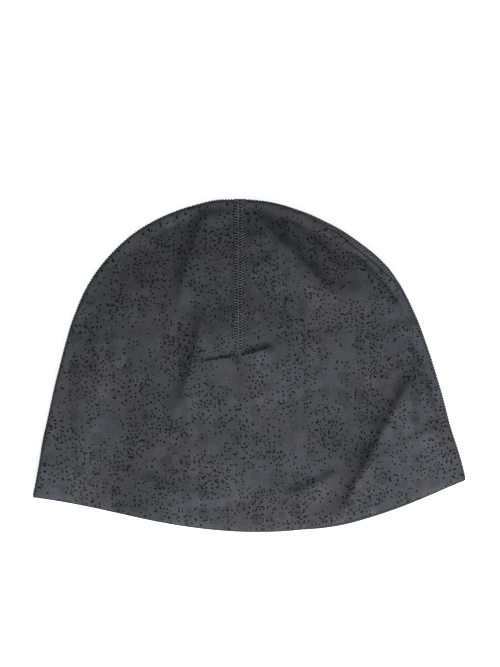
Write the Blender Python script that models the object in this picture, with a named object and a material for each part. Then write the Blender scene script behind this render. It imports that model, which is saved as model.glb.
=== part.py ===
"""A stretch-jersey running cap that lies flat on its back panel.

Two cloth panels meet at a flat stitched seam that runs from one hem corner over the crown to the other.
Each panel has a dart down its middle, closed by a seam of the same kind. The sides and the crown are
folded edges, the front panel bulges over the hollow, and the mouth at the hem is open.

+Y points from the mouth to the crown, +X to the right, and +Z up from the surface that the cap lies on.
Each piece is cut as a flat pattern. A place of the pattern inside the fold's inner line lies straight
above its place in the plan, and what the pattern has outside that line wraps round the folded edge.
"""

import math
from collections import namedtuple

import bpy
from mathutils import Vector
from mathutils.geometry import delaunay_2d_cdt

# Outline of the cap laid flat, in metres
CROWN_RADIUS = 0.1021
CAP_HEIGHT = 0.1595
SIDE_FLARE = math.radians(14)
HEM_DROP = 0.0252
HEM_LEAN = 0.19
BACK_HEM_EXTRA = 0.0010

# Cloth, and how it lies
CLOTH = 0.0013
FOLD_RADIUS = 0.0038
CROWN_PUFF = 0.0190
MOUTH_PUFF = 0.0085
PUFF_REACH = 0.0750
PUFF_RAMP = 0.0060
PUFF_ROUNDNESS = 2.2
CREASE_DEPTH = 0.0022
CREASE_WIDTH = 0.0050

# Seams, the crown seam's two places as turns round the folded edge from the front's inner line
SEAM_WIDTH = 0.0066
SEAM_RISE = 0.0003
SEAM_GAP = 0.0003
TURN_BEHIND = math.radians(145)
TURN_BEFORE = math.radians(36)
DART_LENGTH = 0.0847
DART_TOP_X = 0.0006
DART_TIP_X = -0.0025

# Mesh
EDGE_STEP = 0.0050
FRONT_STEP = 0.0054
BACK_STEP = 0.0130
RIM_INSET = 0.0040
RIM_ROWS = 5
SEAM_ROWS = 4
SAME_PLACE = 1e-7
SLOPE_STEP = 1e-5

CLOTH_COLOR = (0.056, 0.058, 0.067, 1.0)
SEAM_COLOR = (0.100, 0.103, 0.112, 1.0)

CENTRE = Vector((0.0, CAP_HEIGHT - CROWN_RADIUS))
INNER_RADIUS = CROWN_RADIUS - FOLD_RADIUS
SIDE_LENGTH = (CENTRE.y + CROWN_RADIUS * math.sin(SIDE_FLARE)) / math.cos(SIDE_FLARE)
CROWN_LENGTH = INNER_RADIUS * (math.pi - 2 * SIDE_FLARE)
LINE_LENGTH = 2 * SIDE_LENGTH + CROWN_LENGTH
HALF_WIDTH = CROWN_RADIUS * math.cos(SIDE_FLARE) + SIDE_LENGTH * math.sin(SIDE_FLARE)
FOLD_LENGTH = math.pi * FOLD_RADIUS

# How the crown seam rolls over the folded edge. The share is of the way from the left hem corner over
# the crown to the right one, and the roll goes from 0, behind the edge, to 1, in front of it.
Roll = namedtuple("Roll", "share roll")
SEAM_ROLLS = [
    Roll(0.000, 0.0),
    Roll(0.520, 0.0),
    Roll(0.565, 0.5),
    Roll(0.610, 1.0),
    Roll(0.700, 1.0),
    Roll(0.735, 0.5),
    Roll(0.780, 0.0),
    Roll(1.000, 0.0),
]

# The front panel's main folds. Places are shares of HALF_WIDTH and CAP_HEIGHT from the middle of the
# hem's chord, bow is how far the line bends aside as a share of its length, and width and depth are
# shares of CREASE_WIDTH and CREASE_DEPTH. A negative depth is a ridge.
Crease = namedtuple("Crease", "start_x start_y end_x end_y bow width depth")
CREASES = [
    Crease(-0.14, 0.97, -0.30, 0.60, 0.05, 1.1, 0.8),
    Crease(-0.19, 0.63, -0.32, 0.31, 0.03, 1.2, 0.7),
    Crease(0.07, 1.00, 0.43, 0.66, 0.04, 1.4, 1.1),
    Crease(0.80, 0.38, 0.40, -0.05, -0.03, 1.2, 0.9),
    Crease(0.44, 0.06, 0.14, -0.02, -0.06, 1.0, 0.4),
    Crease(-0.66, 0.15, -0.11, -0.02, -0.04, 2.0, 0.4),
    Crease(-0.15, 0.452, 0.00, 0.462, 0.00, 0.5, 0.5),
    Crease(0.00, 0.462, 0.14, 0.496, -0.08, 0.7, 0.9),
    Crease(0.16, 0.80, 0.27, 0.48, 0.05, 2.0, -0.4),
]


def smooth_step(x):
    """0 below 0, 1 above 1, and a smooth rise between."""
    x = min(max(x, 0.0), 1.0)
    return x * x * (3 - 2 * x)


def on_crown(place):
    """Whether a place of the pattern lies in the fan of the round crown, not beside a straight side."""
    away = place - CENTRE
    return math.atan2(away.y, abs(away.x)) >= SIDE_FLARE


def outward(place):
    """The direction square to the nearest stretch of the outline."""
    if on_crown(place):
        return (place - CENTRE).normalized()
    return Vector((math.copysign(math.cos(SIDE_FLARE), place.x), math.sin(SIDE_FLARE)))


def outside_line(place):
    """How far outside the fold's inner line a place of the pattern lies, negative inside it."""
    return (place - CENTRE).dot(outward(place)) - INNER_RADIUS


def pattern(along, over):
    """The place so far along the fold's inner line from the left hem corner, and so far outside it."""
    angle = math.pi - SIDE_FLARE - (along - SIDE_LENGTH) / INNER_RADIUS
    angle = min(max(angle, SIDE_FLARE), math.pi - SIDE_FLARE)
    out = Vector((math.cos(angle), math.sin(angle)))
    down = max(SIDE_LENGTH - along, along - SIDE_LENGTH - CROWN_LENGTH, 0.0)
    side = Vector((math.copysign(math.sin(SIDE_FLARE), out.x), -math.cos(SIDE_FLARE)))
    return CENTRE + out * (INNER_RADIUS + over) + side * down


def hem(x, front):
    """The height of a panel's hem at x, between the inner line's corners."""
    corner = pattern(LINE_LENGTH, 0.0)
    u = x / corner.x
    drop = HEM_DROP + corner.y + (0 if front else BACK_HEM_EXTRA)
    return corner.y - drop * (1 - u * u) * (1 + HEM_LEAN * (u - u * u))


def dart_x(y):
    """Where the dart's middle line is at a height of the pattern."""
    return DART_TOP_X + (DART_TIP_X - DART_TOP_X) * (CAP_HEIGHT - y) / DART_LENGTH


def crease_line(fold):
    """Where a fold starts, and the vector from there to its end."""
    start = Vector((fold.start_x * HALF_WIDTH, fold.start_y * CAP_HEIGHT))
    return start, Vector((fold.end_x * HALF_WIDTH, fold.end_y * CAP_HEIGHT)) - start


def crease(fold, place):
    """How much one fold lowers the cloth at a place."""
    start, run = crease_line(fold)
    to = place - start
    share = to.dot(run) / run.length_squared
    if not 0 < share < 1:
        return 0.0
    bend = fold.bow * run.length * 4 * share * (1 - share)
    aside = (run.x * to.y - run.y * to.x) / run.length - bend
    fade = smooth_step(4 * share) * smooth_step(4 * (1 - share))
    return fold.depth * CREASE_DEPTH * fade * math.exp(-((aside / (fold.width * CREASE_WIDTH)) ** 2))


def bulge(place):
    """How high the front panel stands over the folded edge at a place."""
    inside = max(-outside_line(place), 0.0)
    ramped = inside * inside / (inside + PUFF_RAMP)
    rise = 1 - (1 - min(ramped / PUFF_REACH, 1.0)) ** PUFF_ROUNDNESS
    share = (place.y + HEM_DROP) / (CAP_HEIGHT - DART_LENGTH + HEM_DROP)
    top = MOUTH_PUFF + (CROWN_PUFF - MOUTH_PUFF) * smooth_step(share)
    creases = sum(crease(fold, place) for fold in CREASES)
    return top * rise - creases * smooth_step(inside / RIM_INSET)


def on_face(place, lift, front):
    """A point of the cloth inside the fold's inner line, so far out of the cloth's outside."""
    if not front:
        return Vector((place.x, place.y, -lift))
    height = bulge(place)
    slope_x = (bulge(place + Vector((SLOPE_STEP, 0))) - height) / SLOPE_STEP
    slope_y = (bulge(place + Vector((0, SLOPE_STEP))) - height) / SLOPE_STEP
    square = Vector((-slope_x, -slope_y, 1)).normalized()
    return Vector((place.x, place.y, 2 * FOLD_RADIUS + height)) + square * lift


def in_space(place, lift, front):
    """The point where a place of the pattern lies once it is folded, so far out of the cloth."""
    over = outside_line(place)
    if over <= 0:
        return on_face(place, lift, front)
    out = outward(place)
    if over >= FOLD_LENGTH:
        return on_face(place - out * (2 * over - FOLD_LENGTH), lift, not front)
    turn = over / FOLD_RADIUS
    reach = FOLD_RADIUS + lift
    plan = place + out * (reach * math.sin(turn) - over)
    up = reach * math.cos(turn)
    return Vector((plan.x, plan.y, FOLD_RADIUS + (up if front else -up)))


def even(start, end, step):
    """Values from start to end, evenly spaced by about a step."""
    count = max(round(abs(end - start) / step), 1)
    return [start + (end - start) * i / count for i in range(count + 1)]


def stations():
    """Lengths along the inner line at which the fold has its rows."""
    side = even(0.0, SIDE_LENGTH, EDGE_STEP)
    crown = even(SIDE_LENGTH, SIDE_LENGTH + CROWN_LENGTH, EDGE_STEP)
    far_side = even(SIDE_LENGTH + CROWN_LENGTH, LINE_LENGTH, EDGE_STEP)
    return side[:-1] + crown[:-1] + far_side


def seam_middle(along):
    """How far outside the front's inner line the crown seam's middle lies."""
    share = along / LINE_LENGTH
    roll = SEAM_ROLLS[-1].roll
    for before, after in zip(SEAM_ROLLS, SEAM_ROLLS[1:]):
        if share <= after.share:
            step = smooth_step((share - before.share) / (after.share - before.share))
            roll = before.roll + (after.roll - before.roll) * step
            break
    return FOLD_RADIUS * (TURN_BEHIND + (TURN_BEFORE - TURN_BEHIND) * roll)


def panel_edge(along, front):
    """How far a panel reaches outside its inner line, up to its gap at the crown seam."""
    middle = seam_middle(along)
    return (middle if front else FOLD_LENGTH - middle) - SEAM_WIDTH / 2 - SEAM_GAP


def dart_strip(top, tip, width):
    """The two sides of a strip along the dart, each from its end at the crown seam to its tip."""
    heights = even(top, tip, EDGE_STEP)
    left = [Vector((dart_x(y) - width / 2, y)) for y in heights]
    right = [Vector((dart_x(y) + width / 2, y)) for y in heights]
    return left, right


def dart_heights(front):
    """The pattern's height at the dart's end at the crown seam, and at its tip."""
    top = CENTRE.y + INNER_RADIUS + panel_edge(LINE_LENGTH / 2, front)
    return top, CAP_HEIGHT - DART_LENGTH


def fill(outline, inside):
    """The places and triangles of a flat pattern piece, through the points inside its outline."""
    sides = [(i, (i + 1) % len(outline)) for i in range(len(outline))]
    places, _, triangles = delaunay_2d_cdt(outline + inside, sides, [], 1, SAME_PLACE)[:3]
    return places, triangles


def cloth_piece(name, outline, inside, front, rise, material):
    """A piece of cloth cut to an outline and folded, which stands so far out of its neighbours."""
    places, triangles = fill(outline, inside)
    outer = [in_space(place, rise, front) for place in places]
    inner = [in_space(place, -CLOTH, front) for place in places]
    count = len(places)
    faces = []
    borders = {}
    for a, b, c in triangles:
        faces.append((a, b, c))
        faces.append((c + count, b + count, a + count))
        for start, end in ((a, b), (b, c), (c, a)):
            borders[start, end] = (end, start, start + count, end + count)
    faces += [rim for (start, end), rim in borders.items() if (end, start) not in borders]
    if not front:
        faces = [face[::-1] for face in faces]
    mesh = bpy.data.meshes.new(name)
    mesh.from_pydata(outer + inner, [], faces)
    mesh.materials.append(material)
    mesh.shade_smooth()
    piece = bpy.data.objects.new(name, mesh)
    bpy.context.collection.objects.link(piece)
    return piece


def panel_outline(front):
    """A panel's cut edge, round the crown, down and up beside the dart, and back along the hem."""
    slot = SEAM_WIDTH + 2 * SEAM_GAP
    top, tip = dart_heights(front)
    left, right = dart_strip(top, tip - SEAM_GAP, slot)
    reach = top - CENTRE.y
    for corner in (left[0], right[0]):
        corner.y = CENTRE.y + math.sqrt(reach**2 - corner.x**2)
    edge = [pattern(along, panel_edge(along, front)) for along in stations()]
    before = [place for place in edge if place.x < left[0].x - slot / 4]
    after = [place for place in edge if place.x > right[0].x + slot / 4]
    rim = even(panel_edge(LINE_LENGTH, front), 0.0, RIM_INSET / 2)[1:-1]
    right_rim = [pattern(LINE_LENGTH, over) for over in rim]
    left_rim = [pattern(0.0, over) for over in rim[::-1]]
    corner = pattern(LINE_LENGTH, 0.0).x
    bottom = [Vector((x, hem(x, front))) for x in even(corner, -corner, EDGE_STEP)]
    return before + left + right[::-1] + after + right_rim + bottom + left_rim


def clear_of_edges(place, front, room):
    """Whether a place is in the panel's middle, with room to its rim, its hem and its dart."""
    by_dart = abs(place.x - dart_x(place.y)) < SEAM_WIDTH / 2 + SEAM_GAP + room
    if by_dart and place.y > dart_heights(front)[1] - SEAM_GAP - room:
        return False
    return outside_line(place) < -RIM_INSET - room and place.y > hem(place.x, front) + room


def rim_places(front):
    """Rows of places round a panel's folded edge."""
    places = []
    for along in stations()[1:-1]:
        edge = panel_edge(along, front)
        for i in range(1, RIM_ROWS + 1):
            place = pattern(along, edge + (-RIM_INSET - edge) * i / RIM_ROWS)
            if abs(place.x - dart_x(place.y)) > SEAM_WIDTH / 2 + SEAM_GAP + CLOTH:
                places.append(place)
    return places


def crease_places():
    """Rows of places along the bottom and the shoulders of each of the front's folds."""
    places = []
    for fold in CREASES:
        start, run = crease_line(fold)
        square = Vector((-run.y, run.x)) / run.length
        shares = even(0.0, 1.0, EDGE_STEP / run.length)[1:-1]
        for share in shares:
            bend = fold.bow * run.length * 4 * share * (1 - share)
            for side in (-1, 0, 1):
                places.append(start + run * share + square * (bend + side * fold.width * CREASE_WIDTH))
    room = CREASE_WIDTH / 4
    return [place for place in places if clear_of_edges(place, True, room)]


def spread_places(front, step, taken):
    """An even spread of places over a panel's middle, clear of those that are taken."""
    places = []
    for row, y in enumerate(even(hem(0.0, front), CAP_HEIGHT, step * math.sqrt(3) / 2)):
        for x in even(-HALF_WIDTH, HALF_WIDTH, step):
            place = Vector((x + (step / 2 if row % 2 else 0), y))
            crowded = any((place - other).length < step / 2 for other in taken)
            if clear_of_edges(place, front, step / 2) and not crowded:
                places.append(place)
    return places


def add_front_panel(material):
    """The front half, with its folds."""
    creases = crease_places()
    inside = rim_places(True) + creases + spread_places(True, FRONT_STEP, creases)
    return cloth_piece("front_panel", panel_outline(True), inside, True, 0.0, material)


def add_back_panel(material):
    """The back half, which the cap lies on."""
    inside = rim_places(False) + spread_places(False, BACK_STEP, [])
    return cloth_piece("back_panel", panel_outline(False), inside, False, 0.0, material)


def add_crown_seam(material):
    """The flat seam from hem corner to hem corner."""
    rows = []
    for i in range(SEAM_ROWS + 1):
        aside = SEAM_WIDTH * (i / SEAM_ROWS - 0.5)
        rows.append([pattern(along, seam_middle(along) + aside) for along in stations()])
    left_end = [row[0] for row in rows[1:-1]]
    right_end = [row[-1] for row in rows[1:-1]]
    outline = rows[-1] + right_end[::-1] + rows[0][::-1] + left_end
    inside = [place for row in rows[1:-1] for place in row[1:-1]]
    return cloth_piece("crown_seam", outline, inside, True, SEAM_RISE, material)


def add_dart_seam(name, front, material):
    """The flat seam down a panel's dart."""
    left, right = dart_strip(*dart_heights(front), SEAM_WIDTH)
    middle = [(a + b) / 2 for a, b in zip(left, right)][1:-1]
    return cloth_piece(name, left + right[::-1], middle, front, SEAM_RISE, material)


def add_material(name, color, roughness):
    """A plain cloth or thread material."""
    material = bpy.data.materials.new(name)
    material.use_nodes = True
    shader = material.node_tree.nodes["Principled BSDF"]
    shader.inputs["Base Color"].default_value = color
    shader.inputs["Roughness"].default_value = roughness
    shader.inputs["Metallic"].default_value = 0.0
    return material


def stand_on_origin(pieces):
    """Parent the pieces to an empty that puts the middle of the bottom of their box at the origin."""
    points = [vertex.co for piece in pieces for vertex in piece.data.vertices]
    low = Vector([min(point[axis] for point in points) for axis in range(3)])
    high = Vector([max(point[axis] for point in points) for axis in range(3)])
    origin = bpy.data.objects.new("origin", None)
    bpy.context.collection.objects.link(origin)
    origin.location = (-(low.x + high.x) / 2, -(low.y + high.y) / 2, -low.z)
    for piece in pieces:
        piece.parent = origin


def main():
    for piece in list(bpy.data.objects):
        bpy.data.objects.remove(piece)
    cloth = add_material("cloth", CLOTH_COLOR, 0.85)
    thread = add_material("seam_thread", SEAM_COLOR, 0.75)
    pieces = [
        add_front_panel(cloth),
        add_back_panel(cloth),
        add_crown_seam(thread),
        add_dart_seam("front_dart_seam", True, thread),
        add_dart_seam("back_dart_seam", False, thread),
    ]
    stand_on_origin(pieces)


main()
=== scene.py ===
"""The looks of a stretch-jersey running cap that lies flat on its back panel.

The cloth panels, the seams and their stitches are fine meshes over the same folded pattern as the solid
model. All lengths are in metres. A place of the flat pattern is (x, y), y up from the middle of the hem's
chord, and the cloth outside the fold's inner line wraps round the folded edge.
"""

import math
from collections import namedtuple

import bmesh
import bpy
import numpy as np
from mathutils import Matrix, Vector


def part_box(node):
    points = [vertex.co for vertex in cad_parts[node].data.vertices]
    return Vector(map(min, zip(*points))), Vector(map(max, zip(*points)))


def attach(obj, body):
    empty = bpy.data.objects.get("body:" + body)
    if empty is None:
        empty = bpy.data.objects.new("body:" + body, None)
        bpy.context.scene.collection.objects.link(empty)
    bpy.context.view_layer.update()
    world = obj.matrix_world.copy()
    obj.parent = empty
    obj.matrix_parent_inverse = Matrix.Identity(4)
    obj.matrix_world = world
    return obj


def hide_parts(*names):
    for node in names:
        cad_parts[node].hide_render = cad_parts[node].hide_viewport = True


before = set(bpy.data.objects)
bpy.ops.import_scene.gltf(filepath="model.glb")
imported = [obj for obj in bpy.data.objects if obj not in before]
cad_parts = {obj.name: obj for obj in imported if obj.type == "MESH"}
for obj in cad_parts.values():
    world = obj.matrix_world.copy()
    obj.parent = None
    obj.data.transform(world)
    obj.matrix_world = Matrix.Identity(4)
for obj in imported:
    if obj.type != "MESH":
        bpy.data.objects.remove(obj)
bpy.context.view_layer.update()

# Outline of the cap laid flat
CROWN_RADIUS = 0.1021
CAP_HEIGHT = 0.1595
SIDE_FLARE = math.radians(14)
HEM_DROP = 0.0235
HEM_LEAN = 0.27
# How far the back's hem hangs out under the front's, and from where to where it comes to hang so far, as
# shares of the way from the middle to the right corner
BACK_HEM_EXTRA = 0.0022
BACK_HEM_START = 0.08
BACK_HEM_FULL = 0.48

# Cloth, and how it lies. The fold is a half circle in section with fuller corners, and a fullness of 1
# would leave it round.
CLOTH = 0.0013
FOLD_RADIUS = 0.0038
FOLD_FULLNESS = 0.5
CROWN_PUFF = 0.0160
MOUTH_PUFF = 0.0130
PUFF_REACH = 0.0800
PUFF_RAMP = 0.0060
PUFF_ROUNDNESS = 1.8
# Where the crown's bulge takes over from the sides', as a share of the crown's radius above its centre
CROWN_START = -0.1
# The sides' own rise at the hem and at the crown's centre, as shares of the middle's
FLAT_RISES = (0.00, 0.32)
FLAT_RAMP = 0.0200
# Where the raised middle's flanks start inside the edge, and how wide they are, left and right
FLANK_STARTS = (0.0240, 0.0200)
FLANK_REACHES = (0.0520, 0.0580)
FLANK_BLEND = 0.0600
# How much the front's hem droops between its corners and turns down at its edge, each with how far above
# the hem that begins
HEM_DROOP = 0.0010
DROOP_REACH = 0.0210
DROOP_RAMP = 0.0160
HEM_LIP = 0.0004
LIP_REACH = 0.0026
# How far a fold's sharp side dips, as a share of the fold's depth, and in how many widths it levels out
SHARP_DIP = 0.5
SHARP_TAIL = 2

# Seams
SEAM_WIDTH = 0.0066
SEAM_RISE = 0.0003
TURN_BEHIND = math.radians(145)
TURN_BEFORE = math.radians(45)
DART_LENGTH = 0.0847
DART_TOP_X = 0.0006
DART_TIP_X = -0.0025
# How flat the band's section is, and how deep its edges lie in the cloth, as a share of its rise
BAND_FLATNESS = 6
BAND_SINK = 0.25

# Stitches. Cover threads slant from the seam's edge to its middle, and needle threads run along it.
STITCH_PITCH = 0.0015
STITCH_SLANT = 0.0017
THREAD_RADIUS = 0.00018
NEEDLE_RADIUS = 0.85 * THREAD_RADIUS
NEEDLE_LINES = (-0.0028, -0.0009, 0.0010, 0.0028)
# How far out the cover threads start, as a share of the way to the outer needle lines
COVER_START = 1.06
# How high each kind of thread arches, and how deep its ends lie in the band
COVER_ARCH = 0.00014
COVER_SINK = 0.00010
NEEDLE_ARCH = 0.00026
NEEDLE_SINK = 0.00014
# A needle thread's length, and how far the left and right ones are shifted, as shares of the pitch
NEEDLE_LENGTH = 0.70
NEEDLE_SHIFT = 0.25
# How unevenly the stitches lie, along and aside
ALONG_JITTER = 0.00007
ASIDE_JITTER = 0.00006
STITCH_SEED = 21

# Mesh. The panels and the crown seam share their stations, so that their edges follow each other.
EDGE_STEP = 0.0013
DART_STEP = 0.0010
BAND_COLUMNS = 11
THREAD_POINTS = 6
THREAD_SIDES = 6
THREAD_TIP = 0.05
HEM_ROUNDING = 7
RIM_INSET = 0.0040
SLOPE_STEP = 2e-5
PANEL_WELD = 1e-6
SEAM_WELD = 1e-7
# Rows of a panel, round its folded edge and from there in to its middle line
Rows = namedtuple("Rows", "rim inner")
FRONT_ROWS = Rows(11, 112)
BACK_ROWS = Rows(8, 40)
# Round the dart's tip the inner rows lie closer together: where that is, as a share of the way in
CLOSE_AT = 0.77
CLOSE_SPREAD = 0.10
CLOSENESS = 3
# Material slots of a panel, and of a seam
OUTSIDE, INSIDE, CUT_EDGE = 0, 1, 2
BAND, THREAD = 0, 1

# Colours, each a darker and a lighter one that a noise mixes
PRINT_COLORS = ((0.0538, 0.0570, 0.0658, 1), (0.0572, 0.0560, 0.0657, 1))
INSIDE_COLORS = ((0.046, 0.048, 0.055, 1), (0.060, 0.062, 0.070, 1))
# The dart seams' ground is darker than the cloth, partly painted shade between the stitches
DART_SEAM_AND_SHADE_COLORS = ((0.018, 0.018, 0.021, 1), (0.030, 0.030, 0.034, 1))
CROWN_SEAM_COLORS = ((0.058, 0.058, 0.068, 1), (0.080, 0.080, 0.094, 1))
# The front's rounded hem edge is nearly black, partly its cut edge and partly painted shade along the hems
HEM_EDGE_AND_SHADE_COLORS = ((0.018, 0.018, 0.022, 1), (0.030, 0.030, 0.036, 1))
THREAD_COLORS = ((0.080, 0.081, 0.092, 1), (0.210, 0.213, 0.230, 1))

# The printed ground: how large its patches of hue and of tone and its grain are
HUE_PATCH = 0.034
TONE_PATCH = 0.012
GRAIN = 0.0008
# Moves the back's print away from the front's, whose pattern has the same places
PRINT_SPREAD = (1.0, 1.0, 0.37)
# The ground is lighter towards the sides, measured along a slanting line: painted light on the flanks, not
# print
PAINTED_LIGHT_ALONG = (1.0, 0.25, 0.0)
PaintedLight = namedtuple("PaintedLight", "start end amount")
PAINTED_LIGHT_SIDES = [PaintedLight(0.082, 0.118, 0.24), PaintedLight(-0.050, -0.110, 0.14)]

# The print's layers of dots, a dot in some of the cells of a scatter. Sparse and crowded are the shares
# of cells with a dot where dots are rare and where they crowd.
Dots = namedtuple("Dots", "cell radius sparse crowded darkness shift")
DOTS = [
    Dots(0.0022, 0.00048, 0.00, 0.95, 0.97, (0.00, 0.00, 0.0)),
    Dots(0.0030, 0.00053, 0.02, 0.80, 0.97, (0.52, 0.73, 0.0)),
    Dots(0.0017, 0.00030, 0.05, 0.50, 0.50, (0.23, 0.11, 0.0)),
]
DOT_SCATTER = 0.95
# The smallest and the largest dot's radius, as shares of its layer's
DOT_SIZES = (0.80, 1.20)
DOT_EDGE = 0.00007
CROWD_PATCH = 0.020
CROWD_RANGE = (0.41, 0.61)

# The print's layers of soft round patches, each lighter or darker by up to an amount, with a pale rim
Patches = namedtuple("Patches", "cell radius amount shift")
PATCHES = [
    Patches(0.0098, 0.0034, 0.25, (0.31, 0.17, 0.0)),
    Patches(0.0075, 0.0025, 0.20, (0.77, 0.41, 0.0)),
]
PATCH_SCATTER = 0.7
PATCH_EDGE = 0.0004
PATCH_RIM = 0.0010
PATCH_RIM_TONE = 0.06

# The jersey's ribs and fluff, and the thread's shades and twist. At scale 1, the wave texture's bands are
# WAVE_PITCH apart.
RIB_PITCH = 0.0011844
WAVE_PITCH = math.tau / 20
FLUFF = 0.0012
THREAD_PATCH = 0.0016
THREAD_TWIST = 0.00025

# Light and camera. The camera looks straight down on a place above the chord, in pixels of this size.
KEY_PLACE = (0.16, -0.74, 0.52)
KEY_SIZE = 0.33
KEY_POWER = 9.5
SKY_STRENGTH = 0.36
WHITE = (1.0, 1.0, 1.0, 1)
METRES_PER_PIXEL = 0.0005539
PHOTO_WIDTH = 500
SENSOR_WIDTH = 36.0
CAMERA_X = 0.0034
CAMERA_ABOVE_CHORD = 0.0850
CAMERA_HEIGHT = 2.5
CAMERA_ROLL = math.radians(-2.11)
CAMERA_REACH = 20.0

# The floor and backdrop: radius and height of its rings
FLOOR_PROFILE = [(1.5, 0.0), (2.5, 0.0), (3.5, 0.05), (4.3, 0.3), (4.8, 0.8), (5.0, 1.6), (5.0, 5.0)]
FLOOR_SIDES = 64
FLOOR_Z = -0.0002

# Where the pattern's chord lies in the frame, and how high the cloth stands on its seams
CHORD_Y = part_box("front_panel")[1][1] - CAP_HEIGHT
CLOTH_Z = SEAM_RISE

CENTRE_Y = CAP_HEIGHT - CROWN_RADIUS
INNER_RADIUS = CROWN_RADIUS - FOLD_RADIUS
SIDE_LENGTH = (CENTRE_Y + CROWN_RADIUS * math.sin(SIDE_FLARE)) / math.cos(SIDE_FLARE)
CROWN_LENGTH = INNER_RADIUS * (math.pi - 2 * SIDE_FLARE)
LINE_LENGTH = 2 * SIDE_LENGTH + CROWN_LENGTH
HALF_WIDTH = CROWN_RADIUS * math.cos(SIDE_FLARE) + SIDE_LENGTH * math.sin(SIDE_FLARE)
FOLD_LENGTH = math.pi * FOLD_RADIUS

# The hem's corner on the fold's inner line, and how much steeper than the fold's cross-section the hem
# meets it on the left and on the right
CORNER_X = INNER_RADIUS * math.cos(SIDE_FLARE) + SIDE_LENGTH * math.sin(SIDE_FLARE)
CORNER_Y = CENTRE_Y + INNER_RADIUS * math.sin(SIDE_FLARE) - SIDE_LENGTH * math.cos(SIDE_FLARE)
HEM_SLOPE = 2 * (HEM_DROP + CORNER_Y) / CORNER_X
CORNER_SLANT = (
    math.tan(SIDE_FLARE - math.atan(HEM_SLOPE * (1 - 2 * HEM_LEAN))),
    math.tan(SIDE_FLARE - math.atan(HEM_SLOPE)),
)

# How the crown seam rolls over the folded edge, from 0, behind it, to 1, in front of it, at shares of
# the way from the left hem corner over the crown to the right one.
Roll = namedtuple("Roll", "share roll")
SEAM_ROLLS = [
    Roll(0.000, 0.00),
    Roll(0.500, 0.00),
    Roll(0.585, 0.60),
    Roll(0.630, 0.85),
    Roll(0.674, 1.00),
    Roll(0.715, 0.90),
    Roll(0.745, 0.35),
    Roll(0.775, 0.00),
    Roll(1.000, 0.00),
]

# How far the outline stands out from the plain one, at angles round the crown's centre, in degrees
# from the right side over the top
Swell = namedtuple("Swell", "angle amount")
SWELLS = [
    Swell(0, 0.0004),
    Swell(20, -0.0009),
    Swell(40, -0.0006),
    Swell(60, -0.0026),
    Swell(80, -0.0005),
    Swell(100, 0.0004),
    Swell(120, 0.0010),
    Swell(140, 0.0012),
    Swell(160, -0.0008),
    Swell(180, 0.0011),
    Swell(200, 0.0002),
]
SWELL_SPREAD = 16

# The front panel's folds. Places are shares of HALF_WIDTH and CAP_HEIGHT from the middle of the hem's
# chord, and bow is how far the line bends to its left as a share of its length. Depth is in metres,
# negative for a ridge, and the cloth levels out over one width on the line's left and another on its
# right. A negative width marks a sharp side, steepest right at the line, that dips a little before it
# levels out.
Crease = namedtuple("Crease", "start_x start_y end_x end_y bow left right depth")
CREASES = [
    # The flanks of the raised middle, left of the dart
    Crease(-0.10, 1.030, -0.30, 0.600, -0.05, 0.0120, -0.0085, -0.0023),
    Crease(-0.18, 0.640, -0.34, 0.250, 0.03, 0.0130, -0.0080, -0.0022),
    Crease(-0.20, 0.400, -0.07, -0.060, 0.02, 0.0180, 0.0160, -0.0030),
    # Right of the dart
    Crease(0.04, 0.975, 0.49, 0.610, 0.01, -0.0085, 0.0130, -0.0028),
    Crease(0.14, 0.985, 0.53, 0.710, 0.02, -0.0050, 0.0070, -0.0008),
    Crease(0.12, 0.920, 0.58, 0.560, 0.01, 0.0160, 0.0130, -0.0020),
    Crease(0.47, 0.830, 0.78, 0.560, 0.02, -0.0050, 0.0120, -0.0012),
    Crease(0.20, 0.720, 0.23, 0.480, 0.00, 0.0070, 0.0060, 0.0008),
    Crease(0.36, 0.480, 0.39, 0.020, 0.00, 0.0130, 0.0130, 0.0010),
    # The drag line from the right side to the hem, and the small ones near it
    Crease(0.82, 0.430, 0.36, -0.180, -0.01, 0.0200, -0.0140, -0.0036),
    Crease(0.84, 0.450, 0.36, -0.180, -0.01, 0.0080, -0.0050, -0.0010),
    Crease(0.86, 0.480, 0.42, -0.080, -0.02, 0.0260, 0.0260, -0.0030),
    Crease(0.43, 0.060, 0.14, -0.030, 0.05, 0.0080, -0.0060, -0.0015),
    Crease(0.95, 0.190, 0.48, 0.030, -0.06, 0.0110, -0.0046, -0.0007),
    Crease(0.76, 0.420, 0.60, 0.350, 0.00, 0.0030, -0.0020, -0.0003),
    # The long lines above the hem on the left
    Crease(-0.80, 0.160, -0.08, -0.020, -0.06, -0.0050, 0.0090, -0.0005),
    Crease(-0.50, 0.012, -0.01, -0.034, 0.00, -0.0024, 0.0040, -0.0003),
    # The puckers at the dart's tip, left and right, each a ridge with a sharp upper side
    Crease(-0.210, 0.441, -0.020, 0.459, 0.00, -0.0016, 0.0120, -0.0007),
    Crease(-0.030, 0.457, 0.138, 0.489, -0.03, -0.0044, 0.0110, -0.0014),
    # The hollows below the dart's tip
    Crease(-0.42, 0.285, 0.02, 0.300, 0.00, 0.0120, 0.0240, 0.0022),
    Crease(-0.05, 0.240, 0.62, 0.250, 0.00, 0.0340, 0.0200, 0.0020),
    # Small ones beside the dart's seam
    Crease(-0.140, 0.877, -0.025, 0.877, 0.00, -0.0020, 0.0030, -0.0004),
    Crease(0.030, 0.870, 0.120, 0.880, 0.00, -0.0024, 0.0030, -0.0003),
    Crease(-0.130, 0.790, -0.030, 0.800, 0.00, -0.0030, 0.0040, -0.0003),
    Crease(0.040, 0.740, 0.150, 0.785, 0.10, -0.0026, 0.0030, -0.0004),
    Crease(-0.120, 0.612, -0.020, 0.610, 0.00, -0.0022, 0.0030, -0.0003),
]

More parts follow.
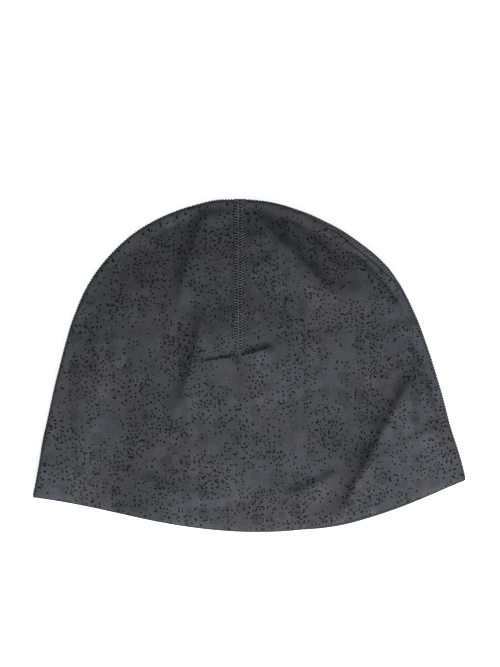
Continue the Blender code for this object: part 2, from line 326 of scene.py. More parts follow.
# The cloth's small unevenness, kinds of smooth noise with humps of a height, about a size apart
Humps = namedtuple("Humps", "height size seed")
FRONT_SLACK = Humps(0.00036, 0.0210, 3)
BACK_SLACK = Humps(0.00036, 0.0210, 4)
FINE_SLACK = Humps(0.00012, 0.0090, 5)
DRAG_LINES = Humps(0.00006, 0.0022, 11)
DRAG_PATCHES = Humps(1.0, 0.0300, 13)
PUCKERS = Humps(0.00030, 0.0052, 7)
NOISE_CELLS = 97
# How much of its slack the back keeps, pressed on the surface that it lies on
BACK_SLACK_KEPT = 0.5
# How the fine drag lines lean, and how many times longer than wide they are
DRAG_LEAN = 0.1
DRAG_STRETCH = 9
# The puckers beside the dart: how much wider than high, and how far aside and below the tip they reach
PUCKER_STRETCH = 2.2
PUCKER_REACH = 0.011
PUCKER_BELOW = 0.006
PUCKER_RAMP = 0.010


def smooth_step(x):
    """0 below 0, 1 above 1, and a smooth rise between."""
    x = np.clip(x, 0.0, 1.0)
    return x * x * (3 - 2 * x)


def soft_noise(x, y, kind):
    """Smooth noise at a place, up to its kind's height either way."""
    table = np.random.default_rng(kind.seed).uniform(-1, 1, (NOISE_CELLS, NOISE_CELLS))
    across, up = x / kind.size + NOISE_CELLS / 2, y / kind.size + NOISE_CELLS / 2
    column, row = np.floor(across).astype(int), np.floor(up).astype(int)
    part_x, part_y = smooth_step(across - column), smooth_step(up - row)

    def corner(right, above):
        return table[(row + above) % NOISE_CELLS, (column + right) % NOISE_CELLS]

    low = corner(0, 0) * (1 - part_x) + corner(1, 0) * part_x
    high = corner(0, 1) * (1 - part_x) + corner(1, 1) * part_x
    return kind.height * (low * (1 - part_y) + high * part_y)


def outside_line(x, y):
    """How far a place lies outside the fold's inner line, and the direction out, as two numbers."""
    up = y - CENTRE_Y
    reach = np.maximum(np.hypot(x, up), 1e-9)
    crown = np.arctan2(up, np.abs(x)) >= SIDE_FLARE
    out_x = np.where(crown, x / reach, np.copysign(math.cos(SIDE_FLARE), x))
    out_y = np.where(crown, up / reach, math.sin(SIDE_FLARE))
    return x * out_x + up * out_y - INNER_RADIUS, out_x, out_y


def pattern(along, over):
    """The place so far along the fold's inner line from the left hem corner, and so far outside it."""
    angle = math.pi - SIDE_FLARE - (along - SIDE_LENGTH) / INNER_RADIUS
    angle = np.clip(angle, SIDE_FLARE, math.pi - SIDE_FLARE)
    out_x, out_y = np.cos(angle), np.sin(angle)
    down = np.maximum(np.maximum(SIDE_LENGTH - along, along - SIDE_LENGTH - CROWN_LENGTH), 0.0)
    # Towards the hem, across slants as the hem does at its corners
    slant = np.where(out_x < 0, CORNER_SLANT[0], CORNER_SLANT[1])
    plan = np.where(over > 0, FOLD_RADIUS * np.sin(np.clip(over / FOLD_RADIUS, 0, math.pi)), over)
    plan = plan + np.minimum(FOLD_LENGTH - over, 0.0)
    down = down + slant * plan * (down / SIDE_LENGTH) ** 3
    x = out_x * (INNER_RADIUS + over) + np.copysign(math.sin(SIDE_FLARE), out_x) * down
    y = CENTRE_Y + out_y * (INNER_RADIUS + over) - math.cos(SIDE_FLARE) * down
    return x, y


def hem(x, front):
    """The height of a panel's hem at x, between the inner line's corners.

    The back's hangs out a little under the front's, right of the middle.
    """
    u = x / CORNER_X
    drop = HEM_DROP + CORNER_Y
    if not front:
        drop = drop + BACK_HEM_EXTRA * smooth_step((u - BACK_HEM_START) / (BACK_HEM_FULL - BACK_HEM_START))
    return CORNER_Y - drop * (1 - u * u) * (1 + HEM_LEAN * (u - u * u))


def dart_x(y):
    """Where the dart's middle line is at a height of the pattern."""
    return DART_TOP_X + (DART_TIP_X - DART_TOP_X) * (CAP_HEIGHT - y) / DART_LENGTH


def seam_middle(along):
    """How far outside the front's inner line the crown seam's middle lies."""
    share = np.asarray(along) / LINE_LENGTH
    roll = np.zeros_like(share)
    for before, after in zip(SEAM_ROLLS, SEAM_ROLLS[1:]):
        step = smooth_step((share - before.share) / (after.share - before.share))
        roll += (after.roll - before.roll) * step
    return FOLD_RADIUS * (TURN_BEHIND + (TURN_BEFORE - TURN_BEHIND) * roll)


def crease(fold, x, y):
    """How much one fold lowers the cloth."""
    start_x, start_y = fold.start_x * HALF_WIDTH, fold.start_y * CAP_HEIGHT
    run_x, run_y = fold.end_x * HALF_WIDTH - start_x, fold.end_y * CAP_HEIGHT - start_y
    length = math.hypot(run_x, run_y)
    share = ((x - start_x) * run_x + (y - start_y) * run_y) / length**2
    inside = (share > 0) & (share < 1)
    bend = fold.bow * length * 4 * share * (1 - share)
    aside = (run_x * (y - start_y) - run_y * (x - start_x)) / length - bend
    width = np.where(aside > 0, fold.left, fold.right)
    near = np.abs(aside / width)
    fall = 1 - (1 + SHARP_DIP) * near * (2 - near)
    tail = -SHARP_DIP * np.exp(-(((near - 1) / SHARP_TAIL) ** 2))
    level = np.where(width < 0, np.where(near < 1, fall, tail), np.exp(-(near**2)))
    fade = smooth_step(4 * share) * smooth_step(4 * (1 - share))
    return np.where(inside, fold.depth * fade * level, 0.0)


def hem_droop(x, y, inside):
    """How much the front panel droops near its hem, so far inside the folded edge."""
    above = y - hem(x, True)
    droop = np.clip(1 - above / DROOP_REACH, 0.0, 1.0) ** 2 * smooth_step(inside / DROOP_RAMP)
    return HEM_DROOP * droop + HEM_LIP * np.clip(1 - above / LIP_REACH, 0.0, 1.0) ** 2


def bulge(x, y):
    """How high the front panel stands over the folded edge."""
    inside = np.maximum(-outside_line(x, y)[0], 0.0)
    ramped = inside * inside / (inside + PUFF_RAMP)
    crown = 1 - (1 - np.minimum(ramped / PUFF_REACH, 1.0)) ** PUFF_ROUNDNESS
    # The sides lie flat before the raised middle, and the crown rises from its edge
    at_hem, at_crown = FLAT_RISES
    flat = at_hem + (at_crown - at_hem) * smooth_step((y + HEM_DROP) / (CENTRE_Y + HEM_DROP))
    side = flat * smooth_step(inside / FLAT_RAMP)
    right = smooth_step(x / FLANK_BLEND + 0.5)
    start, reach = (left + (far - left) * right for left, far in (FLANK_STARTS, FLANK_REACHES))
    side = side + (1 - flat) * smooth_step((inside - start) / reach)
    rise = side + (crown - side) * smooth_step((y - CENTRE_Y) / INNER_RADIUS - CROWN_START)
    share = (y + HEM_DROP) / (CAP_HEIGHT - DART_LENGTH + HEM_DROP)
    top = MOUTH_PUFF + (CROWN_PUFF - MOUTH_PUFF) * smooth_step(share)
    creases = sum(crease(fold, x, y) for fold in CREASES)
    return top * rise - creases * smooth_step(inside / RIM_INSET) - hem_droop(x, y, inside)


def relief(x, y, front):
    """Small unevenness of the cloth: slack, fine drag lines, and puckers beside the dart."""
    slack = soft_noise(x, y, FRONT_SLACK if front else BACK_SLACK) + soft_noise(x, y, FINE_SLACK)
    if not front:
        return -BACK_SLACK_KEPT * np.abs(slack)
    drag = soft_noise(x + DRAG_LEAN * y, y / DRAG_STRETCH, DRAG_LINES)
    drag = drag * smooth_step(soft_noise(x, y, DRAG_PATCHES) + 0.5)
    aside = x - dart_x(y)
    above = y - (CAP_HEIGHT - DART_LENGTH - PUCKER_BELOW)
    by_dart = smooth_step(above / PUCKER_RAMP) * np.exp(-((aside / PUCKER_REACH) ** 2))
    return slack + drag + soft_noise(x / PUCKER_STRETCH, y, PUCKERS) * by_dart


def swell(x, y):
    """A plan place moved out or in by the outline's small unevenness."""
    up = y - CENTRE_Y
    angle = np.degrees(np.arctan2(up, x))
    angle = np.where(angle < -90, angle + 360, angle)
    reach = np.hypot(x, up)
    amount = sum(row.amount * np.exp(-(((angle - row.angle) / SWELL_SPREAD) ** 2)) for row in SWELLS)
    scale = 1 + amount * (reach / CROWN_RADIUS) ** 2 / np.maximum(reach, 1e-6)
    return x * scale, CENTRE_Y + up * scale


def fold_section(turn):
    """The reach, height and normal of the folded edge's section, so far round it."""
    across, up = np.abs(np.sin(turn)), np.cos(turn)
    reach = FOLD_RADIUS * across**FOLD_FULLNESS
    height = FOLD_RADIUS * (1 + np.sign(up) * np.abs(up) ** FOLD_FULLNESS)
    out = across ** (2 - FOLD_FULLNESS)
    up = np.sign(up) * np.abs(up) ** (2 - FOLD_FULLNESS)
    size = np.hypot(out, up)
    return reach, height, out / size, up / size


def folded(x, y, lift, front, plumb=False):
    """The points where places of the pattern lie once it is folded, so far out of the cloth.

    Plumb lifts go straight up from the front's face, which keeps the cloth's inside clear of itself.
    """
    x, y = np.asarray(x, float), np.asarray(y, float)
    over, out_x, out_y = outside_line(x, y)
    turn = np.clip(over / FOLD_RADIUS, 0.0, math.pi)
    beyond = np.maximum(over - FOLD_LENGTH, 0.0)
    back = np.maximum(over, 0.0) + beyond
    reach, height, normal_out, normal_z = fold_section(turn)
    plan_x, plan_y = swell(x + out_x * (reach - back), y + out_y * (reach - back))
    normal_x, normal_y = out_x * normal_out, out_y * normal_out
    if front:
        rise = bulge(x, y)
        slope_x = (bulge(x + SLOPE_STEP, y) - rise) / SLOPE_STEP
        slope_y = (bulge(x, y + SLOPE_STEP) - rise) / SLOPE_STEP
        size = np.sqrt(slope_x**2 + slope_y**2 + 1)
        face = over <= 0
        height = height + np.where(face, rise, 0.0)
        if not plumb:
            normal_x = np.where(face, -slope_x / size, normal_x)
            normal_y = np.where(face, -slope_y / size, normal_y)
            normal_z = np.where(face, 1 / size, normal_z)
    else:
        height, normal_z = 2 * FOLD_RADIUS - height, -normal_z
    lift = lift + relief(x, y, front)
    points = np.stack([plan_x, plan_y + CHORD_Y, height + CLOTH_Z], axis=-1)
    normals = np.stack([normal_x, normal_y, normal_z], axis=-1)
    points = points + normals * np.asarray(lift)[..., None]
    points[..., 2] = np.maximum(points[..., 2], 0.0)
    return points, normals


def print_places(x, y, front):
    """Places of the pattern with a third number that tells the back's from the front's."""
    return np.stack([x, y, np.full_like(x, 0.0 if front else 1.0)], axis=-1)


class Shell:
    """A mesh under construction: points with their pattern places, and faces with their material."""

    def __init__(self):
        self.points, self.places, self.faces, self.slots = [], [], [], []
        self.count = 0

    def add_grid(self, points, places, slot, flip=False, wrap=False):
        """Add a sheet of quads through a grid of points, closed in its second direction if it wraps."""
        rows, columns = points.shape[:2]
        index = np.arange(rows * columns).reshape(rows, columns) + self.count
        if wrap:
            index = np.concatenate([index, index[:, :1]], axis=1)
        quads = np.stack([index[:-1, :-1], index[1:, :-1], index[1:, 1:], index[:-1, 1:]], axis=-1)
        quads = quads.reshape(-1, 4)
        self.points.append(points.reshape(-1, 3))
        self.places.append(places.reshape(-1, 3))
        self.faces.append(quads[:, ::-1] if flip else quads)
        self.slots.append(np.full(len(quads), slot))
        self.count += rows * columns

    def add_rim(self, outer, inner, places, slot, flip):
        """Add the strip that closes the gap between an edge of the outside and of the inside."""
        self.add_grid(np.stack([outer, inner], axis=1), np.stack([places] * 2, axis=1), slot, flip=flip)

    def add_band(self, outer, inner, places, slot, flip, rim_flip):
        """Add a closed band, its outside, its inside and the rims on all four edges."""
        self.add_grid(outer, places, slot, flip=flip)
        self.add_grid(inner, places, slot, flip=not flip)
        for edge, first in ((0, True), (-1, False)):
            self.add_rim(outer[:, edge], inner[:, edge], places[:, edge], slot, first != rim_flip)
            self.add_rim(outer[edge], inner[edge], places[edge], slot, first == rim_flip)

    def build(self, name, materials, weld):
        """The finished object, with the pattern places as an attribute."""
        mesh = bpy.data.meshes.new(name)
        faces = np.concatenate(self.faces)
        mesh.from_pydata(np.concatenate(self.points), [], faces.tolist())
        mesh.polygons.foreach_set("material_index", np.concatenate(self.slots))
        pattern_place = mesh.attributes.new("pattern", "FLOAT_VECTOR", "POINT")
        pattern_place.data.foreach_set("vector", np.concatenate(self.places).ravel())
        work = bmesh.new()
        work.from_mesh(mesh)
        bmesh.ops.remove_doubles(work, verts=work.verts, dist=weld)
        bmesh.ops.holes_fill(work, edges=[edge for edge in work.edges if edge.is_boundary], sides=0)
        work.to_mesh(mesh)
        work.free()
        for material in materials:
            mesh.materials.append(material)
        mesh.shade_smooth()
        piece = bpy.data.objects.new(name, mesh)
        bpy.context.collection.objects.link(piece)
        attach(piece, "root")
        return piece


def stations():
    """Lengths along the fold's inner line, evenly spaced by about a step on each of its stretches."""
    side = round(SIDE_LENGTH / EDGE_STEP)
    crown = round(CROWN_LENGTH / EDGE_STEP)
    far = SIDE_LENGTH + CROWN_LENGTH
    return np.concatenate([
        np.linspace(0, SIDE_LENGTH, side, endpoint=False),
        np.linspace(SIDE_LENGTH, far, crown, endpoint=False),
        np.linspace(far, LINE_LENGTH, side + 1),
    ])


def panel_edge(along, front):
    """How far a panel reaches outside its inner line, up to the crown seam."""
    middle = seam_middle(along)
    return (middle if front else FOLD_LENGTH - middle) - SEAM_WIDTH / 2


def row_shares(count):
    """Shares of the way in from the rim, closer together round the dart's tip."""
    share = np.linspace(0, 1, 1001)
    close = np.cumsum(1 + CLOSENESS * np.exp(-(((share - CLOSE_AT) / CLOSE_SPREAD) ** 2)))
    close = (close - close[0]) / (close[-1] - close[0])
    return np.interp(np.linspace(0, 1, count), close, share)


def panel_grid(front, rows):
    """The pattern places of a panel, a line from the seam in to the middle line for each station."""
    along = stations()[:, None]
    edge = panel_edge(along, front)
    over = edge + (-RIM_INSET - edge) * np.arange(rows.rim) / rows.rim
    rim_x, rim_y = pattern(along, over)
    start_x, start_y = pattern(along, -RIM_INSET)
    down = np.maximum(SIDE_LENGTH - along, along - SIDE_LENGTH - CROWN_LENGTH) / SIDE_LENGTH
    down = np.maximum(down, 0.0)
    share = row_shares(rows.inner)[None, :]
    middle_y = CENTRE_Y + (hem(0.0, front) - CENTRE_Y) * down
    x = start_x * (1 - share)
    y = start_y + (middle_y - start_y) * share
    # Near the hem the lines bend as it does
    corner_y = np.where(along < LINE_LENGTH / 2, start_y[0], start_y[-1])
    straight = corner_y + (hem(0.0, front) - corner_y) * share
    bend = np.where(down > 0, (hem(x, front) - straight) * down**3, 0.0)
    return np.concatenate([rim_x, x], axis=1), np.concatenate([rim_y, y + bend], axis=1)


def along_hem(grid):
    """A panel's values along its hem, from the left corner to the right one."""
    return np.concatenate([grid[0], grid[-1][::-1][1:]])


def add_panel(name, front, rows, cloths):
    """One cloth panel with a rounded hem edge, and cloths for its outside, its inside and that edge."""
    x, y = panel_grid(front, rows)
    shell = Shell()
    places = print_places(x, y, front)
    outer = folded(x, y, 0.0, front)[0]
    inner = folded(x, y, -CLOTH, front, plumb=True)[0]
    shell.add_grid(outer, places, OUTSIDE, flip=front)
    shell.add_grid(inner, places, INSIDE, flip=not front)
    # The cut edges: the seam edge, and the hem, which is rounded over
    shell.add_rim(outer[:, 0], inner[:, 0], places[:, 0], INSIDE, not front)
    hem_x, hem_y = along_hem(x), along_hem(y)
    tangent_x, tangent_y = np.gradient(hem_x), np.gradient(hem_y)
    size = np.hypot(tangent_x, tangent_y)
    away_x, away_y = tangent_y / size, -tangent_x / size
    arc = np.linspace(0, math.pi, HEM_ROUNDING)[None, :]
    edge_x = hem_x[:, None] + away_x[:, None] * CLOTH / 2 * np.sin(arc)
    edge_y = hem_y[:, None] + away_y[:, None] * CLOTH / 2 * np.sin(arc)
    rounded = folded(edge_x, edge_y, -CLOTH / 2 + CLOTH / 2 * np.cos(arc), front)[0]
    rounded[:, -1] = along_hem(inner)
    shell.add_grid(rounded, print_places(edge_x, edge_y, front), CUT_EDGE, flip=front)
    piece = shell.build(name, cloths, PANEL_WELD)
    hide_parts(name.replace("_cloth", ""))
    return piece


def add_threads(shell, paths, normals, places, radius):
    """Round threads along paths, an array of many paths of as many points each."""
    tangents = np.gradient(paths, axis=1)
    tangents /= np.linalg.norm(tangents, axis=-1, keepdims=True)
    across = np.cross(tangents, normals)
    across /= np.linalg.norm(across, axis=-1, keepdims=True)
    up = np.cross(across, tangents)
    turns = np.linspace(0, 2 * math.pi, THREAD_SIDES, endpoint=False)
    taper = np.ones(paths.shape[1])
    taper[0] = taper[-1] = THREAD_TIP
    for path, side, top, place in zip(paths, across, up, places):
        ring = np.cos(turns)[None, :, None] * side[:, None] + np.sin(turns)[None, :, None] * top[:, None]
        points = path[:, None] + ring * (radius * taper)[:, None, None]
        shell.add_grid(points, np.repeat(place[:, None], THREAD_SIDES, axis=1), THREAD, wrap=True)


def add_stitches(shell, place_at, length):
    """Flatlock stitches along a seam, whose place_at gives what lies at (along, aside, lift)."""
    marks = np.arange(STITCH_PITCH, length - STITCH_PITCH / 2, STITCH_PITCH)
    shares = np.linspace(0, 1, THREAD_POINTS)
    arch = np.sin(math.pi * shares)
    uneven = np.random.default_rng(STITCH_SEED)

    def lay(along, aside, lift, radius):
        along = along + uneven.normal(0, ALONG_JITTER, (len(marks), 1))
        aside = aside + uneven.normal(0, ASIDE_JITTER, (len(marks), 1))
        points, normals, places = place_at(*np.broadcast_arrays(along, aside, lift))
        add_threads(shell, points, normals, places, radius)

    for side in (-1, 1):
        along = marks[:, None] + STITCH_SLANT * (shares - 0.5)
        aside = side * NEEDLE_LINES[-1] * COVER_START * (1 - shares)
        lay(along, aside, SEAM_RISE + COVER_ARCH * arch - COVER_SINK, THREAD_RADIUS)
    for line in NEEDLE_LINES:
        shift = math.copysign(NEEDLE_SHIFT, line)
        along = marks[:, None] + STITCH_PITCH * (NEEDLE_LENGTH * (shares - 0.5) + shift)
        lay(along, line, SEAM_RISE + NEEDLE_ARCH * arch - NEEDLE_SINK, NEEDLE_RADIUS)


def band_grid(lengths):
    """A seam band's lengths along it and distances aside, and how high it stands there."""
    asides = np.linspace(-0.5, 0.5, BAND_COLUMNS) * SEAM_WIDTH
    along, aside = np.meshgrid(lengths, asides, indexing="ij")
    section = 1 - (np.abs(aside) / (SEAM_WIDTH / 2)) ** BAND_FLATNESS
    return along, aside, SEAM_RISE * (section - BAND_SINK)


def finish_seam(shell, node, cloth, thread):
    """The seam's object, in place of a node of the solid model."""
    piece = shell.build(node + "_stitched", [cloth, thread], SEAM_WELD)
    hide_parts(node)


def add_crown_seam(cloth, thread):
    """The seam round the crown, its band and its stitches."""
    shell = Shell()

    def place_at(along, aside, lift):
        x, y = pattern(along, seam_middle(along) + aside)
        points, normals = folded(x, y, lift, True)
        return points, normals, print_places(x, y, True)

    along, aside, rise = band_grid(stations())
    outer, _, places = place_at(along, aside, rise)
    inner = place_at(along, aside, -CLOTH)[0]
    # The rims are wound inward here, unlike the dart seams', which shades the seam's edge
    shell.add_band(outer, inner, places, BAND, flip=False, rim_flip=True)
    add_stitches(shell, place_at, LINE_LENGTH)
    finish_seam(shell, "crown_seam", cloth, thread)


def add_dart_seam(name, front, cloth, thread):
    """The seam down a panel's dart, laid over the panel."""
    shell = Shell()
    top = CENTRE_Y + INNER_RADIUS + float(panel_edge(LINE_LENGTH / 2, front))
    length = top - (CAP_HEIGHT - DART_LENGTH)

    def place_at(down, aside, lift):
        y = top - down
        x = dart_x(y) + aside
        # The band's upper end follows the round crown
        y = y - np.where(y > CENTRE_Y, top - CENTRE_Y - np.sqrt((top - CENTRE_Y) ** 2 - x * x), 0.0)
        points, normals = folded(x, y, lift, front)
        return points, normals, print_places(x, y, front)

    down, aside, rise = band_grid(np.arange(0, length, DART_STEP))
    outer, _, places = place_at(down, aside, rise)
    inner = place_at(down, aside, -CLOTH / 2)[0]
    shell.add_band(outer, inner, places, BAND, flip=not front, rim_flip=not front)
    add_stitches(shell, place_at, length)
    finish_seam(shell, name, cloth, thread)


class Nodes:
    """A material's nodes, made and linked by short calls."""

    def __init__(self, name):
        self.material = bpy.data.materials.new(name)
        self.material.use_nodes = True
        self.tree = self.material.node_tree
        self.shader = self.tree.nodes["Principled BSDF"]

    def add(self, kind, inputs=None, **settings):
        node = self.tree.nodes.new(kind)
        for key, value in settings.items():
            setattr(node, key, value)
        for key, value in (inputs or {}).items():
            if isinstance(value, bpy.types.NodeSocket):
                self.tree.links.new(value, node.inputs[key])
            else:
                node.inputs[key].default_value = value
        return node

    def math(self, operation, *values, clamp=False):
        inputs = dict(enumerate(values))
        return self.add("ShaderNodeMath", inputs, operation=operation, use_clamp=clamp).outputs[0]

    def vector(self, operation, first, second, output="Vector"):
        inputs = {0: first, 1: second}
        return self.add("ShaderNodeVectorMath", inputs, operation=operation).outputs[output]

    def ramp(self, value, low, high, start=0.0, end=1.0):
        """A value mapped smoothly from low and high to start and end."""
        inputs = {"Value": value, "From Min": low, "From Max": high, "To Min": start, "To Max": end}
        node = self.add("ShaderNodeMapRange", inputs, interpolation_type="SMOOTHSTEP")
        return node.outputs["Result"]

    def noise(self, vector, size, detail):
        inputs = {"Vector": vector, "Scale": 1 / size, "Detail": detail}
        return self.add("ShaderNodeTexNoise", inputs, noise_dimensions="3D").outputs["Fac"]

    def scatter(self, vector, shift, cell, randomness):
        """A scatter of points in cells of a size, shifted so that layers differ."""
        inputs = {"Vector": self.vector("ADD", vector, shift), "Scale": 1 / cell, "Randomness": randomness}
        cells = self.add("ShaderNodeTexVoronoi", inputs, voronoi_dimensions="2D", feature="F1").outputs
        parts = self.add("ShaderNodeSeparateColor", {"Color": cells["Color"]}).outputs
        return cells["Distance"], cells["Position"], parts

    def mix(self, factor, first, second):
        inputs = {0: factor, 6: first, 7: second}
        return self.add("ShaderNodeMix", inputs, data_type="RGBA").outputs[2]

    def mottle(self, vector, size, detail, margin, colors):
        """Two colors mixed by a noise, each whole where the noise is within a margin of its end."""
        return self.mix(self.ramp(self.noise(vector, size, detail), margin, 1 - margin), *colors)

    def vary(self, vector, size, detail, amount):
        """A factor that a noise varies by an amount round 1."""
        noise = self.noise(vector, size, detail)
        return self.ramp(noise, 0.28, 0.72, 1 - amount, 1 + amount)

    def cover(self, color, height, strength, distance):
        """Give the shader a color and a bump."""
        bump = self.add("ShaderNodeBump", {"Height": height, "Strength": strength, "Distance": distance})
        self.tree.links.new(bump.outputs["Normal"], self.shader.inputs["Normal"])
        self.tree.links.new(color, self.shader.inputs["Base Color"])


def dot_layer(nodes, place, layer):
    """A layer's darkness on its small round dots, closer where a slow noise is high."""
    distance, position, parts = nodes.scatter(place, layer.shift, layer.cell, DOT_SCATTER)
    small, large = (share * layer.radius / layer.cell for share in DOT_SIZES)
    size = nodes.math("MULTIPLY_ADD", parts[1], large - small, small)
    spot = nodes.math("DIVIDE", nodes.math("SUBTRACT", size, distance), 2 * DOT_EDGE / layer.cell)
    spot = nodes.math("ADD", spot, 0.5, clamp=True)
    crowd = nodes.noise(position, CROWD_PATCH, 2.5)
    limit = nodes.ramp(crowd, *CROWD_RANGE, layer.sparse, layer.crowded)
    spot = nodes.math("MULTIPLY", spot, nodes.math("LESS_THAN", parts[0], limit))
    return nodes.math("MULTIPLY", spot, layer.darkness)


def patch_layer(nodes, place, layer):
    """How much a layer's soft round patches and their rims add to the ground's tone."""
    distance, _, parts = nodes.scatter(place, layer.shift, layer.cell, PATCH_SCATTER)
    edge_in, edge_out, rim = (
        (layer.radius + reach) / layer.cell for reach in (-PATCH_EDGE, PATCH_EDGE, PATCH_RIM)
    )
    inside = nodes.ramp(distance, edge_out, edge_in)
    tone = nodes.math("MULTIPLY_ADD", parts[0], 2 * layer.amount, -layer.amount - PATCH_RIM_TONE)
    outside = nodes.ramp(distance, rim, edge_out, 0.0, PATCH_RIM_TONE)
    return nodes.math("MULTIPLY_ADD", inside, tone, outside)


def printed_cloth():
    """Charcoal jersey with soft lighter and darker patches, small dark dots and painted light at the
    sides.
    """
    nodes = Nodes("printed_jersey")
    place = nodes.add("ShaderNodeAttribute", attribute_name="pattern").outputs["Vector"]
    spread = nodes.vector("MULTIPLY", place, PRINT_SPREAD)
    base = nodes.mottle(spread, HUE_PATCH, 1.0, 0.35, PRINT_COLORS)
    tone = nodes.vary(spread, TONE_PATCH, 3.0, 0.07)
    for layer in PATCHES:
        tone = nodes.math("ADD", tone, patch_layer(nodes, spread, layer))
    # Painted light: the tone rises towards both sides along a slanting line
    across = nodes.vector("DOT_PRODUCT", place, PAINTED_LIGHT_ALONG, output="Value")
    sides = 1.0
    for side in PAINTED_LIGHT_SIDES:
        sides = nodes.math("ADD", sides, nodes.ramp(across, side.start, side.end, 0.0, side.amount))
    tone = nodes.math("MULTIPLY", tone, sides)
    tone = nodes.math("MULTIPLY", tone, nodes.vary(spread, GRAIN, 2.0, 0.19))
    dots = 0.0
    for layer in DOTS:
        dots = nodes.math("MAXIMUM", dots, dot_layer(nodes, spread, layer))
    tone = nodes.math("MULTIPLY", tone, nodes.math("SUBTRACT", 1.0, dots))
    color = nodes.add("ShaderNodeVectorMath", {0: base, "Scale": tone}, operation="SCALE").outputs[0]
    finish_cloth(nodes, place, color)
    return nodes.material


def plain_cloth(name, colors):
    """Unprinted jersey, as on the inside, under the stitches and at the hem's edge; dark colours give
    painted shade.
    """
    nodes = Nodes(name)
    place = nodes.add("ShaderNodeAttribute", attribute_name="pattern").outputs["Vector"]
    finish_cloth(nodes, place, nodes.mottle(place, TONE_PATCH, 3.0, 0.3, colors))
    return nodes.material


def finish_cloth(nodes, place, color):
    """The jersey's fine ribs, roughness and sheen."""
    inputs = {"Vector": place, "Scale": WAVE_PITCH / RIB_PITCH, "Distortion": 0.6, "Detail": 1.0}
    ribs = nodes.add("ShaderNodeTexWave", inputs, wave_type="BANDS", bands_direction="X").outputs["Fac"]
    height = nodes.math("ADD", nodes.math("MULTIPLY", ribs, 0.5), nodes.noise(place, FLUFF, 3.0))
    nodes.cover(color, height, 0.25, 0.00015)
    nodes.shader.inputs["Roughness"].default_value = 0.70
    nodes.shader.inputs["Specular IOR Level"].default_value = 0.22
    nodes.shader.inputs["Sheen Weight"].default_value = 0.02
    nodes.shader.inputs["Sheen Roughness"].default_value = 0.5


def thread_material():
    """Grey polyester thread, a little uneven."""
    nodes = Nodes("seam_thread")
    place = nodes.add("ShaderNodeTexCoord").outputs["Object"]
    color = nodes.mottle(place, THREAD_PATCH, 2.0, 0.3, THREAD_COLORS)
    nodes.cover(color, nodes.noise(place, THREAD_TWIST, 1.0), 0.4, 0.00008)
    nodes.shader.inputs["Roughness"].default_value = 0.5
    nodes.shader.inputs["Specular IOR Level"].default_value = 0.5
    return nodes.material


def floor_material():
    """A pale floor, lit a little from behind as on a light table."""
    nodes = Nodes("pale_floor")
    nodes.shader.inputs["Base Color"].default_value = (0.90, 0.90, 0.90, 1)
    nodes.shader.inputs["Roughness"].default_value = 0.9
    nodes.shader.inputs["Specular IOR Level"].default_value = 0.0
    nodes.shader.inputs["Emission Color"].default_value = WHITE
    nodes.shader.inputs["Emission Strength"].default_value = 0.75
    return nodes.material


def add_floor():
    """A pale floor that rises into a backdrop all round."""
    mesh = bpy.data.meshes.new("floor")
    work = bmesh.new()
    rings = []
    for radius, height in FLOOR_PROFILE:
        ring = []
        for step in range(FLOOR_SIDES):
            angle = 2 * math.pi * step / FLOOR_SIDES
            ring.append(work.verts.new((radius * math.cos(angle), radius * math.sin(angle), height)))
        rings.append(ring)
    work.faces.new(rings[0])
    for low_ring, high_ring in zip(rings, rings[1:]):
        for step in range(FLOOR_SIDES):
            after = (step + 1) % FLOOR_SIDES
            work.faces.new((low_ring[step], high_ring[step], high_ring[after], low_ring[after]))
    work.to_mesh(mesh)
    work.free()
    mesh.shade_smooth()
    mesh.materials.append(floor_material())
    floor = bpy.data.objects.new("floor", mesh)
    floor.location.z = FLOOR_Z
    # The floor's glow is for the background alone, and doesn't light the cap's edges
    floor.visible_diffuse = False
    floor.visible_glossy = False
    floor.visible_shadow = False
    bpy.context.collection.objects.link(floor)


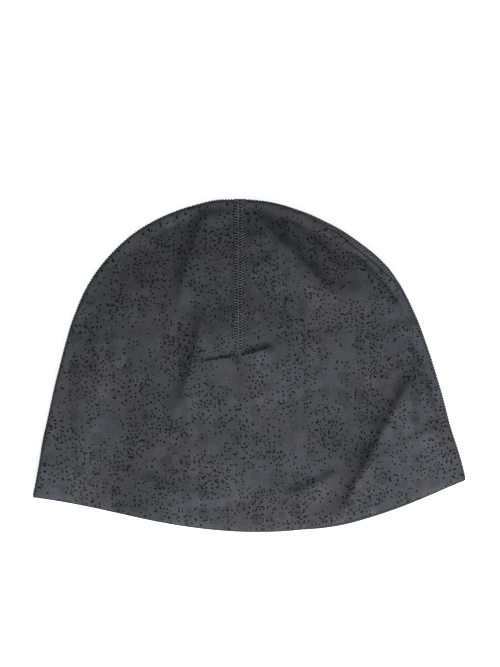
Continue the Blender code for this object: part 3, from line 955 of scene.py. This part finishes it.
def add_lights():
    """A soft sky, and a square lamp that faces the cap from beyond its hem."""
    world = bpy.data.worlds.new("soft_studio")
    world.use_nodes = True
    background = world.node_tree.nodes["Background"]
    background.inputs["Color"].default_value = WHITE
    background.inputs["Strength"].default_value = SKY_STRENGTH
    bpy.context.scene.world = world
    lamp = bpy.data.lights.new("key", "AREA")
    lamp.size = KEY_SIZE
    lamp.energy = KEY_POWER
    light = bpy.data.objects.new("key", lamp)
    bpy.context.collection.objects.link(light)
    light.location = KEY_PLACE
    x, y, z = KEY_PLACE
    heading = math.atan2(-y, -x)
    light.rotation_euler = (math.atan2(math.hypot(x, y), z), 0, heading - math.pi / 2)


def add_camera():
    """Straight above the cap, rolled as the photograph is."""
    camera = bpy.data.cameras.new("camera")
    camera.sensor_fit = "HORIZONTAL"
    camera.sensor_width = SENSOR_WIDTH
    camera.lens = SENSOR_WIDTH * CAMERA_HEIGHT / (PHOTO_WIDTH * METRES_PER_PIXEL)
    camera.clip_end = CAMERA_REACH
    view = bpy.data.objects.new("camera", camera)
    bpy.context.collection.objects.link(view)
    view.location = (CAMERA_X, CAMERA_ABOVE_CHORD + CHORD_Y, CAMERA_HEIGHT)
    view.rotation_euler = (0, 0, CAMERA_ROLL)
    bpy.context.scene.camera = view


bpy.context.scene.view_settings.view_transform = "Standard"
print_cloth = printed_cloth()
inner_cloth = plain_cloth("plain_jersey", INSIDE_COLORS)
# Dark ground under the dart's stitches, partly painted shade
seam_and_shade_cloth = plain_cloth("seam_jersey", DART_SEAM_AND_SHADE_COLORS)
crown_cloth = plain_cloth("crown_seam_jersey", CROWN_SEAM_COLORS)
# The hem edge's dark colours are partly painted shade
hem_edge_and_shade_cloth = plain_cloth("hem_edge_and_shade_jersey", HEM_EDGE_AND_SHADE_COLORS)
thread = thread_material()
back_cloths = [print_cloth, inner_cloth, print_cloth]
front_cloths = [print_cloth, inner_cloth, hem_edge_and_shade_cloth]
back_cloth = add_panel("back_panel_cloth", False, BACK_ROWS, back_cloths)
add_panel("front_panel_cloth", True, FRONT_ROWS, front_cloths)
add_crown_seam(crown_cloth, thread)
add_dart_seam("front_dart_seam", True, seam_and_shade_cloth, thread)
add_dart_seam("back_dart_seam", False, seam_and_shade_cloth, thread)
add_floor()
add_lights()
add_camera()
